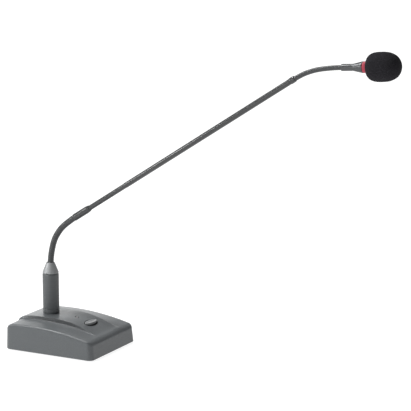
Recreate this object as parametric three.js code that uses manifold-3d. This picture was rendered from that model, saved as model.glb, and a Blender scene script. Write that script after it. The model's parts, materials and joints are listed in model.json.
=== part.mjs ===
// Desktop gooseneck microphone: a weighted base with a push button, a plug-in neck with two
// flexible stretches and a rigid tube between them, and a capsule head under a foam windscreen.
// Millimetres, +Z up. The origin is the centre of the base's footprint on the desk; X = 0 is the
// mirror plane, and the neck leans forward along -Y.
import * as THREE from 'three';
import Module from 'manifold-3d';
import { mergeVertices } from 'three/addons/utils/BufferGeometryUtils.js';

// ---------- driving dimensions ----------
const GAP = 0.3; // clearance between touching pieces

const BASE_HALF_WIDTH = 54.65;
const BASE_HALF_DEPTH = 64.65;
const BASE_CORNER_RADIUS = 7;
const BASE_WALL = 2.5;
const PAD_THICKNESS = 1.5; // anti-slip pad under the bottom plate
const SHELL_BOTTOM = 1.2; // the shell's rim hangs just clear of the desk

const WING_PEAK = 35.0; // height of the two side wings, an arc along Y
const WING_PEAK_Y = 29;
const WING_ARC = 1 / 720;
const PANEL_PEAK = 40.5; // raised middle panel: flat where the neck stands, falling both ways
const PANEL_FLAT_FRONT = 10;
const PANEL_FLAT_REAR = 31;
const PANEL_FALL = 0.004;
const STEP_X = 24; // half width of the raised panel at its upper edge
const STEP_RUN = 2.2; // width of the riser between wing and panel
const STEP_FLARE = 0.001; // the panel widens towards the front
const WING_SWELL = 0.42; // share of the panel's height that the wing has already climbed
const SIDE_EDGE_RADIUS = 2.6;
const FRONT_ROUND = { radius: 10, run: 6.5 };
const REAR_ROUND = { radius: 14, run: 10.5 };
const WALL_LEAN = { side: 0.6, front: 1.8, rear: 0.6 };

const PLATE_THICKNESS = 1.5;
const BALLAST = { width: 88, depth: 90, y: -11, height: 8.5 };
const NECK_Y = 28.6; // the neck's plug stands here, towards the rear
const BARREL_RADIUS = 10.5;
const BARREL_TOP = 93.2;
const CONE_TOP = 107;
const SLEEVE_RADIUS = 9.4; // plug sleeve that enters the socket
const SLEEVE_WALL = 1.2;
const PLUG_DEPTH = 14;
const SOCKET_RADIUS = 12.6;
const GRUB = { radius: 1.4, length: 3.2, z: 52 }; // set screw that holds the plug's insert
const CONTACT_CIRCLE = 4.2; // radius of the ring that the three contacts stand on
const CONTACT_RADIUS = 1.65;
const PIN_RADIUS = 0.9;

const BUTTON = { y: -30.8, halfLength: 12, halfWidth: 5.6, proud: 2.4, gap: 0.9 };
const LED_Y = -10;
const LED_RADIUS = 2.2;
const LED_FLANGE_RADIUS = 2.8;
const BOARD = { width: 62, depth: 46, thickness: 1.6, y: -24, bottom: 15.2 };
const JACK = { z: 14.5, bore: 3.25, radius: 5.6, bodyHalf: 7.6, bodyLength: 24 };

const LOWER_FLEX_RADIUS = 4;
const UPPER_FLEX_RADIUS = 3;
const FLEX_BORE = 1.5;
const LOWER_LINKS = 6;
const UPPER_LINKS = 4;
const LINK_GAP = 1.5;
const LOWER_FLEX_ENDS = [14, 24]; // lengths of the fixed root and tip of each flexible stretch
const UPPER_FLEX_ENDS = [5.5, 4.5];
const LOWER_TIP_RADIUS = 3.5; // where the lower flex is swaged down inside its sleeve
const LOWER_SLEEVE_RADIUS = 4.55;
const LOWER_SLEEVE_REACH = 22.8; // how far the sleeve covers the flex
const TUBE_RADIUS = 3.5;
const TUBE_THIN_RADIUS = 3.25; // the tube's first stretch, up from the sleeve
const TUBE_THIN_LENGTH = 66;
const TUBE_END_RADIUS = 3.1; // turned down under the collar
const TUBE_BORE = 2.5;
const COLLAR_RADIUS = 3.95;
const COLLAR_LENGTH = 5;
const TUBE_START = [0, -28.2, 181.2];
const TUBE_END = [0, -311.3, 361.5];
const HEAD_START = [0, -374.4, 378.75];
const HEAD_RISE = 3.8; // degrees above level
const HEAD_RADIUS = 6.7;
const FERRULE_RADIUS = 4.15; // the head's stem, before it widens
const FERRULE_REACH = 2.6; // how far the stem covers the flex
const RING_START = 24.5; // along the head's axis, from the end of the neck
const RING_LENGTH = 4.1;
const HOUSING_LENGTH = 27.7;
const CAPSULE_DEPTH = 8.3; // the capsule's back, in from the housing's outer end
const FOAM = { radius: 17.25, length: 40.5, middle: 18.5, neckReach: 19.2, neckPower: 3.2, tipPower: 2.3 };

// centre lines of the two flexible stretches, in the plane X = 0
const LOWER_FLEX_POINTS = [
  [28.6, 96], [28.3, 107], [26.0, 123], [20.8, 139.2], [11.1, 153.1], [-2.5, 164.5], [-17.6, 174.4],
  [-28.2, 181.2],
];
const UPPER_FLEX_POINTS = [
  [-311.3, 361.5], [-324.9, 368.8], [-339.1, 373.8], [-353.9, 376.6], [-368.8, 378.35],
  [-374.4, 378.75],
];

const wasm = await Module();
wasm.setup();

const microphone = new THREE.Group();

// ---------- materials ----------
function finish(colour, roughness, metalness = 0, extra = {}) {
  return () => new THREE.MeshStandardMaterial({ color: colour, roughness, metalness, ...extra });
}
const shellGrey = finish(0x65696b, 0.45, 0.2);
const satinMetal = finish(0x5f6364, 0.35, 0.8);
const paleMetal = finish(0x9fa3a3, 0.3, 0.9);
const coilMetal = finish(0x4b4e50, 0.35, 0.9);
const zincSteel = finish(0xb4b6b4, 0.4, 1);
const castIron = finish(0x3a3b3c, 0.8, 0.6);
const blackPlastic = finish(0x1c1d1e, 0.6);
const blackRubber = finish(0x161616, 0.9);
const greyPlastic = finish(0x565a5c, 0.5);
const boardGreen = finish(0x1f4a33, 0.5);
const goldContact = finish(0xc9a24a, 0.25, 1);
const redLens = finish(0xb0525f, 0.25, 0, { transparent: true, opacity: 0.85 });
const smokedLens = finish(0x2b1517, 0.2, 0, { transparent: true, opacity: 0.9 });
const foamBlack = finish(0x232225, 1);

// ---------- solids ----------
function toManifold(geometry) {
  const bare = geometry.clone();
  bare.deleteAttribute('normal');
  bare.deleteAttribute('uv');
  const merged = mergeVertices(bare, 1e-4);
  return new wasm.Manifold(new wasm.Mesh({
    numProp: 3,
    vertProperties: new Float32Array(merged.attributes.position.array),
    triVerts: new Uint32Array(merged.index.array),
  }));
}

function toGeometry(solid) {
  const mesh = solid.getMesh();
  const geometry = new THREE.BufferGeometry();
  geometry.setAttribute('position', new THREE.BufferAttribute(mesh.vertProperties, 3));
  geometry.setIndex(new THREE.BufferAttribute(mesh.triVerts, 1));
  geometry.computeVertexNormals();
  return geometry;
}

function join(first, ...others) {
  return toGeometry(others.reduce((solid, other) => solid.add(toManifold(other)), toManifold(first)));
}

function cut(first, ...tools) {
  return toGeometry(tools.reduce((solid, tool) => solid.subtract(toManifold(tool)), toManifold(first)));
}

function intersect(first, second) {
  return toGeometry(toManifold(first).intersect(toManifold(second)));
}

// a turned solid about +Z, from [radius, height] points
function turned(profile, segments = 32) {
  const points = profile.map(([radius, height]) => new THREE.Vector2(radius, height));
  return new THREE.LatheGeometry(points, segments).rotateX(Math.PI / 2);
}

function disc(radius, bottom, top, segments = 32) {
  return turned([[0, bottom], [radius, bottom], [radius, top], [0, top]], segments);
}

function sleeve(outer, inner, bottom, top, segments = 32) {
  return turned([[inner, bottom], [outer, bottom], [outer, top], [inner, top], [inner, bottom]], segments);
}

function block(width, depth, bottom, top) {
  return new THREE.BoxGeometry(width, depth, top - bottom).translate(0, 0, (top + bottom) / 2);
}

function roundedOutline(halfWidth, halfDepth, radius) {
  const shape = new THREE.Shape();
  shape.moveTo(halfWidth, -halfDepth + radius);
  shape.lineTo(halfWidth, halfDepth - radius);
  shape.absarc(halfWidth - radius, halfDepth - radius, radius, 0, Math.PI / 2);
  shape.lineTo(-halfWidth + radius, halfDepth);
  shape.absarc(-halfWidth + radius, halfDepth - radius, radius, Math.PI / 2, Math.PI);
  shape.lineTo(-halfWidth, -halfDepth + radius);
  shape.absarc(-halfWidth + radius, -halfDepth + radius, radius, Math.PI, 1.5 * Math.PI);
  shape.lineTo(halfWidth - radius, -halfDepth);
  shape.absarc(halfWidth - radius, -halfDepth + radius, radius, 1.5 * Math.PI, 2 * Math.PI);
  return shape;
}

function slab(halfWidth, halfDepth, radius, bottom, top, curveSegments = 5) {
  const outline = roundedOutline(halfWidth, halfDepth, radius);
  const options = { depth: top - bottom, bevelEnabled: false, curveSegments };
  return new THREE.ExtrudeGeometry(outline, options).translate(0, 0, bottom);
}

function ellipseOutline(halfLength, halfWidth) {
  const shape = new THREE.Shape();
  shape.absellipse(0, 0, halfLength, halfWidth, 0, 2 * Math.PI);
  return shape;
}

function piece(name, geometry, material, place = {}) {
  const mesh = new THREE.Mesh(geometry, material());
  mesh.name = name;
  mesh.position.set(...(place.at ?? [0, 0, 0]));
  if (place.along) {
    const direction = new THREE.Vector3(...place.along).normalize();
    mesh.quaternion.setFromUnitVectors(new THREE.Vector3(0, 0, 1), direction);
  }
  (place.parent ?? microphone).add(mesh);
  return mesh;
}

// ---------- the base's top surface ----------
const clamp01 = (value) => Math.min(1, Math.max(0, value));
const smooth = (value) => clamp01(value) ** 2 * (3 - 2 * clamp01(value));

function wingHeight(y) {
  return WING_PEAK - WING_ARC * (y - WING_PEAK_Y) ** 2;
}

function panelHeight(y) {
  const past = Math.max(PANEL_FLAT_FRONT - y, y - PANEL_FLAT_REAR, 0);
  return PANEL_PEAK - PANEL_FALL * past * past;
}

function stepEdge(y) {
  return STEP_X + STEP_FLARE * Math.max(PANEL_FLAT_FRONT - y, 0) ** 2;
}

function roundingDrop(round, distance) {
  const into = Math.max(round.run - distance, 0);
  return round.radius - Math.sqrt(round.radius ** 2 - into ** 2);
}

function topHeight(x, y) {
  const wing = wingHeight(y);
  const rise = Math.max(panelHeight(y) - wing, 0);
  const foot = stepEdge(y) + STEP_RUN;
  const climb = clamp01((BASE_HALF_WIDTH - Math.abs(x)) / (BASE_HALF_WIDTH - foot));
  const riser = smooth((foot - Math.abs(x)) / STEP_RUN);
  const share = WING_SWELL * climb ** 1.5;
  const front = roundingDrop(FRONT_ROUND, BASE_HALF_DEPTH - WALL_LEAN.front + y);
  const rear = roundingDrop(REAR_ROUND, BASE_HALF_DEPTH - WALL_LEAN.rear - y);
  return wing + rise * (share + (1 - share) * riser) - front - rear;
}

// Rows run along Y, with extra ones on the corner arcs; columns run across, denser at the step.
function shellRows(inset, count) {
  const { side, front, rear } = inset;
  const halfWidth = BASE_HALF_WIDTH - side;
  const arcSteps = 4;
  const rows = [];
  const low = -BASE_HALF_DEPTH + front;
  const high = BASE_HALF_DEPTH - rear;
  const radius = Math.max(BASE_CORNER_RADIUS - inset.corner, 0.8);
  for (let i = arcSteps; i > 0; i -= 1) {
    const angle = (i / arcSteps) * (Math.PI / 2);
    rows.push([low + radius - radius * Math.sin(angle), halfWidth - radius + radius * Math.cos(angle)]);
  }
  for (let i = 0; i <= count; i += 1) {
    rows.push([low + radius + ((high - low - 2 * radius) * i) / count, halfWidth]);
  }
  for (let i = 1; i <= arcSteps; i += 1) {
    const angle = (i / arcSteps) * (Math.PI / 2);
    rows.push([high - radius + radius * Math.sin(angle), halfWidth - radius + radius * Math.cos(angle)]);
  }
  return rows;
}

function shellSolid(wall, bottom, rowCount, columns) {
  const rounding = [0, 0.3, 0.7, 1];
  const lean = (share) => ({
    side: wall + WALL_LEAN.side * share,
    front: wall + WALL_LEAN.front * share,
    rear: wall + WALL_LEAN.rear * share,
    corner: wall,
  });
  const inward = (inset, by) => ({
    side: inset.side + by, front: inset.front + by, rear: inset.rear + by, corner: inset.corner + by,
  });
  const positions = [];
  const indices = [];
  const addRow = (inset, height) => shellRows(inset, rowCount).map(([y, halfWidth]) => columns.map((u) => {
    positions.push(u * halfWidth, y, height(u * halfWidth, y));
    return positions.length / 3 - 1;
  }));
  const boundary = (grid) => {
    const last = columns.length - 1;
    const rightSide = grid.slice(1, -1).map((row) => row[last]);
    const leftSide = grid.slice(1, -1).map((row) => row[0]).reverse();
    return [...grid[0], ...rightSide, ...[...grid.at(-1)].reverse(), ...leftSide];
  };
  const loops = [];
  const floor = addRow(lean(0), () => bottom);
  loops.push(boundary(floor));
  for (const share of rounding) {
    const by = SIDE_EDGE_RADIUS * share;
    const drop = SIDE_EDGE_RADIUS - Math.sqrt(SIDE_EDGE_RADIUS ** 2 - (SIDE_EDGE_RADIUS - by) ** 2);
    const ring = addRow(inward(lean(1), by), (x, y) => topHeight(x, y) - drop - wall);
    loops.push(boundary(ring));
    if (share === 1) fillGrid(ring, indices, false);
  }
  fillGrid(floor, indices, true);
  for (let k = 0; k + 1 < loops.length; k += 1) {
    loops[k].forEach((a, i) => {
      const next = (i + 1) % loops[k].length;
      const [b, c, d] = [loops[k][next], loops[k + 1][next], loops[k + 1][i]];
      indices.push(a, b, c, a, c, d);
    });
  }
  const geometry = new THREE.BufferGeometry();
  geometry.setAttribute('position', new THREE.Float32BufferAttribute(positions, 3));
  geometry.setIndex(indices);
  return geometry;
}

function fillGrid(grid, indices, downwards) {
  for (let j = 0; j + 1 < grid.length; j += 1) {
    for (let i = 0; i + 1 < grid[j].length; i += 1) {
      const [a, b, c, d] = [grid[j][i], grid[j][i + 1], grid[j + 1][i + 1], grid[j + 1][i]];
      if (downwards) indices.push(a, c, b, a, d, c);
      else indices.push(a, b, c, a, c, d);
    }
  }
}

// column positions as shares of the half width, on both sides of the middle
function mirrored(shares) {
  return [...shares.map((share) => -share).reverse(), 0, ...shares];
}

const SOCKET_HOLE_RADIUS = SOCKET_RADIUS - 2.3;
const PLATE_TOP = PAD_THICKNESS + GAP + PLATE_THICKNESS;
const BALLAST_BOTTOM = PLATE_TOP + GAP;
const BALLAST_TOP = BALLAST_BOTTOM + BALLAST.height;
const SCREW_SPOTS = [[-46.5, -55], [46.5, -55], [-46.5, 53.5], [46.5, 53.5]];
const BOARD_SCREW_SPOTS = [[-25.5, -24], [25.5, -24]];
const BOSS_RADIUS = 3.6;
const PILOT_RADIUS = 1.1;
const SCREW_HEAD = { radius: 2.7, height: 1.3 };
const SCREW_SHANK = 1.4;

function buildHousing() {
  const outer = shellSolid(0, SHELL_BOTTOM, 16, mirrored([0.22, 0.43, 0.46, 0.49, 0.53, 0.7, 1]));
  const inner = shellSolid(BASE_WALL, -4, 9, mirrored([0.42, 0.52, 1]));
  const socketHole = disc(SOCKET_HOLE_RADIUS, 20, 60, 40).translate(0, NECK_Y, 0);
  const jackHole = disc(JACK.radius + GAP, 0, 12, 24).rotateX(-Math.PI / 2).translate(0, 58, JACK.z);
  const ledHole = disc(LED_RADIUS + GAP, 20, 60, 16).translate(0, LED_Y, 0);
  const buttonHole = new THREE.ExtrudeGeometry(
    ellipseOutline(BUTTON.halfLength + BUTTON.gap, BUTTON.halfWidth + BUTTON.gap),
    { depth: 40, bevelEnabled: false, curveSegments: 8 },
  ).translate(0, BUTTON.y, 20);
  const hollow = cut(outer, inner);
  const shell = cut(hollow, socketHole, jackHole, ledHole, buttonHole);
  const posts = [
    ...SCREW_SPOTS.map(([x, y]) => [x, y, PLATE_TOP + GAP]),
    ...BOARD_SCREW_SPOTS.map(([x, y]) => [x, y, BOARD.bottom + BOARD.thickness + GAP]),
  ].map(([x, y, bottom]) => {
    const post = disc(BOSS_RADIUS, bottom, topHeight(x, y) - 1, 16);
    const pilot = disc(PILOT_RADIUS, bottom - 1, bottom + 9, 10);
    return cut(post, pilot).translate(x, y, 0);
  });
  return intersect(join(shell, ...posts), outer);
}

function screw(length, segments = 10) {
  const { radius, height } = SCREW_HEAD;
  return turned([
    [0, 0.7], [0.9, 0.7], [0.9, 0], [radius - 0.4, 0], [radius, 0.5], [radius, height],
    [PILOT_RADIUS - 0.15, height], [PILOT_RADIUS - 0.15, height + length - 1], [0, height + length],
  ], segments);
}

function buildBase() {
  piece('base_housing', buildHousing(), shellGrey);

  const reach = BASE_WALL + GAP;
  const plateHalf = [BASE_HALF_WIDTH - reach - 0.4, BASE_HALF_DEPTH - reach - 1.2];
  const plateHoles = SCREW_SPOTS.map(([x, y]) => disc(SCREW_SHANK + 0.2, 0, 8, 14).translate(x, y, 0));
  const padHoles = SCREW_SPOTS.map(([x, y]) => disc(4, -1, 8, 16).translate(x, y, 0));
  const plate = slab(...plateHalf, 4.5, PAD_THICKNESS + GAP, PLATE_TOP);
  piece('bottom_plate', cut(plate, ...plateHoles), zincSteel);
  const pad = slab(plateHalf[0] - 1, plateHalf[1] - 1, 4, 0, PAD_THICKNESS);
  piece('anti_slip_pad', cut(pad, ...padHoles), blackRubber);
  SCREW_SPOTS.forEach(([x, y], i) => {
    const head = PAD_THICKNESS - SCREW_HEAD.height;
    piece(`bottom_screw_${i + 1}`, screw(8), zincSteel, { at: [x, y, head] });
  });

  const ballastNotches = SCREW_SPOTS.map(([x, y]) => disc(BOSS_RADIUS + 1.2, 0, 20, 16).translate(x, y, 0));
  const ballast = slab(BALLAST.width / 2, BALLAST.depth / 2, 6, BALLAST_BOTTOM, BALLAST_TOP)
    .translate(0, BALLAST.y, 0);
  piece('ballast_weight', cut(ballast, ...ballastNotches), castIron);
}

// ---------- button, light and board ----------
function buildControls() {
  const { halfLength, halfWidth, proud } = BUTTON;
  const boardTop = BOARD.bottom + BOARD.thickness;
  const at = [0, BUTTON.y, 0];
  const capTop = topHeight(0, BUTTON.y) + proud;
  const capBottom = capTop - 9.5;
  const bevel = { depth: 8.1, bevelThickness: 0.7, bevelSize: 0.7, bevelSegments: 2, curveSegments: 9 };
  const cap = new THREE.ExtrudeGeometry(ellipseOutline(halfLength - 0.7, halfWidth - 0.7), bevel)
    .translate(0, 0, capBottom + 0.7);
  const switchTop = boardTop + GAP + 3.6;
  const plungerTop = switchTop + 2.2;
  const stem = disc(2.2, plungerTop + GAP, capBottom + 1, 12);
  const flange = new THREE.ExtrudeGeometry(
    ellipseOutline(halfLength + 1.5, halfWidth + 1.5), { depth: 1, bevelEnabled: false, curveSegments: 9 },
  ).translate(0, 0, capBottom);
  piece('push_button', join(cap, flange, stem), greyPlastic, { at });
  piece('button_spring', sleeve(3.9, 3.0, switchTop + GAP, capBottom - GAP, 20), zincSteel, { at });
  piece('switch_plunger', disc(1.7, switchTop - 1.6, plungerTop, 14), blackPlastic, { at });
  const switchBody = cut(block(12, 12, boardTop + GAP, switchTop), disc(2, switchTop - 3.3, 40, 14));
  piece('switch_body', switchBody, blackPlastic, { at });

  const holes = BOARD_SCREW_SPOTS.map(([x, y]) => disc(1.6, 0, 40, 12).translate(x, y, 0));
  const board = block(BOARD.width, BOARD.depth, BOARD.bottom, boardTop).translate(0, BOARD.y, 0);
  piece('main_board', cut(board, ...holes), boardGreen);
  BOARD_SCREW_SPOTS.forEach(([x, y], i) => {
    const head = BOARD.bottom - GAP - SCREW_HEAD.height;
    piece(`board_screw_${i + 1}`, screw(6), zincSteel, { at: [x, y, head] });
  });
  const ledTop = topHeight(0, LED_Y);
  const lens = turned([
    [0, boardTop + GAP], [LED_FLANGE_RADIUS, boardTop + GAP], [LED_FLANGE_RADIUS, ledTop - 4],
    [LED_RADIUS, ledTop - 3.4], [LED_RADIUS, ledTop - 0.2], [LED_RADIUS * 0.7, ledTop + 0.1], [0, ledTop + 0.2],
  ], 20);
  piece('indicator_light', lens, smokedLens, { at: [0, LED_Y, 0] });
}

// ---------- sockets ----------
const PLUG_BOTTOM = PANEL_PEAK - PLUG_DEPTH;
const SOCKET_BOTTOM = PLUG_BOTTOM - 3;
const CONTACT_ANGLES = [90, 210, 330];

function contactSpots() {
  return CONTACT_ANGLES.map((angle) => {
    const turn = THREE.MathUtils.degToRad(angle);
    return [CONTACT_CIRCLE * Math.cos(turn), NECK_Y + CONTACT_CIRCLE * Math.sin(turn)];
  });
}

function buildSockets() {
  const underPanel = PANEL_PEAK - BASE_WALL - 0.8;
  const slotOuter = SLEEVE_RADIUS + GAP;
  const slotInner = SLEEVE_RADIUS - SLEEVE_WALL - GAP;
  const nose = PLUG_BOTTOM + PLUG_DEPTH - 5;
  const socket = turned([
    [0, SOCKET_BOTTOM], [SOCKET_RADIUS, SOCKET_BOTTOM], [SOCKET_RADIUS, underPanel],
    [slotOuter, underPanel], [slotOuter, PLUG_BOTTOM - GAP], [slotInner, PLUG_BOTTOM - GAP],
    [slotInner, nose], [0, nose],
  ], 36);
  const holes = contactSpots().map(([x, y]) => (
    disc(CONTACT_RADIUS + GAP, SOCKET_BOTTOM - 1, nose + 1, 12).translate(x, y - NECK_Y, 0)
  ));
  piece('neck_socket', cut(socket, ...holes), blackPlastic, { at: [0, NECK_Y, 0] });
  contactSpots().forEach(([x, y], i) => {
    const tube = disc(CONTACT_RADIUS, SOCKET_BOTTOM - 2.5, nose - 0.6, 12);
    const contact = cut(tube, disc(PIN_RADIUS + GAP, PLUG_BOTTOM - 1.4, nose, 12));
    piece(`socket_contact_${i + 1}`, contact, goldContact, { at: [x, y, 0] });
  });

  const { bore, radius, bodyHalf, bodyLength } = JACK;
  const rear = BASE_HALF_DEPTH + 0.8;
  const front = rear - 6.5 - bodyLength;
  const back = front + bodyLength;
  const body = new THREE.BoxGeometry(2 * bodyHalf, bodyLength, 2 * bodyHalf)
    .translate(0, (front + back) / 2, 0);
  const bush = disc(radius, 0, 6.8, 24).rotateX(-Math.PI / 2).translate(0, back - GAP, 0);
  const boreTool = disc(bore, 0, bodyLength + 6, 20).rotateX(-Math.PI / 2).translate(0, front + 3, 0);
  piece('output_jack', cut(join(body, bush), boreTool), blackPlastic, { at: [0, 0, JACK.z] });
  const nut = cut(disc(radius + 2.6, 0, 1.8, 6), disc(radius + GAP, -1, 3, 24))
    .rotateX(-Math.PI / 2).translate(0, rear - 0.4, 0);
  piece('output_jack_nut', nut, zincSteel, { at: [0, 0, JACK.z] });
}

// ---------- plug and neck ----------
function buildPlug() {
  const inside = SLEEVE_RADIUS - SLEEVE_WALL;
  const seat = PANEL_PEAK + GAP;
  const barrel = turned([
    [inside, PLUG_BOTTOM], [SLEEVE_RADIUS, PLUG_BOTTOM], [SLEEVE_RADIUS, seat],
    [BARREL_RADIUS - 0.8, seat], [BARREL_RADIUS, seat + 0.8], [BARREL_RADIUS, BARREL_TOP - 0.4],
    [BARREL_RADIUS - 0.4, BARREL_TOP], [inside, BARREL_TOP], [inside, PLUG_BOTTOM],
  ], 40);
  const screwHole = disc(GRUB.radius + GAP, 5, 15, 14).rotateX(-Math.PI / 2).translate(0, 0, GRUB.z);
  piece('plug_barrel', cut(barrel, screwHole), satinMetal, { at: [0, NECK_Y, 0] });
  const grub = turned([
    [0, 0], [GRUB.radius, 0], [GRUB.radius, GRUB.length], [GRUB.radius / 2, GRUB.length],
    [GRUB.radius / 2, GRUB.length - 1.2], [0, GRUB.length - 1.2],
  ], 14).rotateX(-Math.PI / 2);
  piece('barrel_screw', grub, blackPlastic, { at: [0, NECK_Y + 6.9, GRUB.z] });

  const insertBottom = PANEL_PEAK + 1.2;
  const insert = disc(inside - GAP, insertBottom, insertBottom + 7, 28);
  const pinHoles = contactSpots().map(([x, y]) => (
    disc(PIN_RADIUS + 0.35, 0, 90, 12).translate(x, y - NECK_Y, 0)
  ));
  const screwPocket = disc(GRUB.radius + 0.7, 0, 4, 14).rotateX(-Math.PI / 2).translate(0, 6, GRUB.z);
  piece('plug_insert', cut(insert, ...pinHoles, screwPocket), blackPlastic, { at: [0, NECK_Y, 0] });
  contactSpots().forEach(([x, y], i) => {
    const pin = turned([
      [0, PLUG_BOTTOM + 1], [0.5, PLUG_BOTTOM + 1.1], [PIN_RADIUS, PLUG_BOTTOM + 2],
      [PIN_RADIUS, insertBottom + 10], [0, insertBottom + 10],
    ], 12);
    piece(`plug_pin_${i + 1}`, pin, goldContact, { at: [x, y, 0] });
  });

  const coneBottom = BARREL_TOP + GAP;
  const bore = LOWER_FLEX_RADIUS + 0.75;
  const cone = turned([
    [bore, coneBottom - 5.2], [inside - GAP, coneBottom - 5.2], [inside - GAP, coneBottom],
    [BARREL_RADIUS - 0.4, coneBottom], [BARREL_RADIUS, coneBottom + 0.6],
    [LOWER_FLEX_RADIUS + 1.6, CONE_TOP - 0.5], [LOWER_FLEX_RADIUS + 1.2, CONE_TOP], [bore, CONE_TOP],
    [bore, coneBottom - 5.2],
  ], 32);
  piece('barrel_cone', cone, paleMetal, { at: [0, NECK_Y, 0] });
}

function planePath(points) {
  return new THREE.CatmullRomCurve3(points.map(([y, z]) => new THREE.Vector3(0, y, z)));
}

// a hollow stretch of the wound neck, following its centre line between two shares of its length
function woundStretch(path, from, to, radius) {
  const section = new THREE.Shape();
  section.absarc(0, 0, radius, 0, 2 * Math.PI);
  const bore = new THREE.Path();
  bore.absarc(0, 0, FLEX_BORE, 0, 2 * Math.PI);
  section.holes.push(bore);
  const stops = [0, 1, 2, 3].map((i) => path.getPointAt(from + ((to - from) * i) / 3));
  const extrudePath = new THREE.CatmullRomCurve3(stops);
  return new THREE.ExtrudeGeometry(section, { steps: 3, extrudePath, curveSegments: 5 });
}

// Hinges sit midway in the gaps: the first and last are half a link in from the stretch's ends.
function buildFlex(name, points, links, radius, ends, tipRadius = radius) {
  const path = planePath(points);
  const length = path.getLength();
  const pitch = (length - ends[0] - ends[1]) / links;
  for (let i = 0; i < links; i += 1) {
    const from = ends[0] + i * pitch + LINK_GAP / 2;
    const to = ends[0] + (i + 1) * pitch - LINK_GAP / 2;
    piece(`${name}_link_${i + 1}`, woundStretch(path, from / length, to / length, radius), coilMetal);
  }
  piece(`${name}_root`, woundStretch(path, 0, (ends[0] - LINK_GAP / 2) / length, radius), coilMetal);
  const tip = woundStretch(path, 1 - (ends[1] - LINK_GAP / 2) / length, 1, tipRadius);
  piece(`${name}_tip`, tip, coilMetal);
}

function buildNeck() {
  const swaged = LOWER_TIP_RADIUS;
  buildFlex('lower_flex', LOWER_FLEX_POINTS, LOWER_LINKS, LOWER_FLEX_RADIUS, LOWER_FLEX_ENDS, swaged);

  const start = new THREE.Vector3(...TUBE_START);
  const end = new THREE.Vector3(...TUBE_END);
  const along = end.clone().sub(start).normalize();
  const length = start.distanceTo(end);
  const place = { at: TUBE_START, along: along.toArray() };
  const tipBore = LOWER_TIP_RADIUS + GAP;
  const tubeBore = TUBE_THIN_RADIUS + GAP;
  const lowerSleeve = turned([
    [tipBore, -LOWER_SLEEVE_REACH], [LOWER_SLEEVE_RADIUS - 0.2, -LOWER_SLEEVE_REACH],
    [LOWER_SLEEVE_RADIUS, 0.4 - LOWER_SLEEVE_REACH], [LOWER_SLEEVE_RADIUS, -1.5],
    [LOWER_SLEEVE_RADIUS - 0.25, 0.8], [tubeBore + 0.25, 3.6], [tubeBore, 3.6], [tubeBore, 1.2],
    [tipBore, 0.6], [tipBore, -LOWER_SLEEVE_REACH],
  ], 24);
  piece('lower_sleeve', lowerSleeve, satinMetal, place);
  const shoulder = length - COLLAR_LENGTH - GAP;
  const tube = turned([
    [TUBE_BORE, GAP], [TUBE_THIN_RADIUS, GAP], [TUBE_THIN_RADIUS, TUBE_THIN_LENGTH],
    [TUBE_RADIUS, TUBE_THIN_LENGTH + 0.5], [TUBE_RADIUS, shoulder], [TUBE_END_RADIUS, shoulder],
    [TUBE_END_RADIUS, length - GAP], [TUBE_BORE, length - GAP], [TUBE_BORE, GAP],
  ], 20);
  piece('rigid_tube', tube, satinMetal, place);
  const collarBore = TUBE_END_RADIUS + GAP;
  const collarStart = length - COLLAR_LENGTH;
  const collar = turned([
    [collarBore, collarStart], [COLLAR_RADIUS - 0.2, collarStart], [COLLAR_RADIUS, collarStart + 0.4],
    [COLLAR_RADIUS, length - 0.5], [COLLAR_RADIUS - 0.25, length + 2], [collarBore, length + 2],
    [collarBore, collarStart],
  ], 20);
  piece('upper_collar', collar, satinMetal, place);

  buildFlex('upper_flex', UPPER_FLEX_POINTS, UPPER_LINKS, UPPER_FLEX_RADIUS, UPPER_FLEX_ENDS);
}

// ---------- head ----------
function headSlots(count, from, to, width) {
  return Array.from({ length: count }, (_, i) => (
    block(width, 20, from, to).translate(0, 10, 0).rotateZ((i * 2 * Math.PI) / count)
  ));
}

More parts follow.
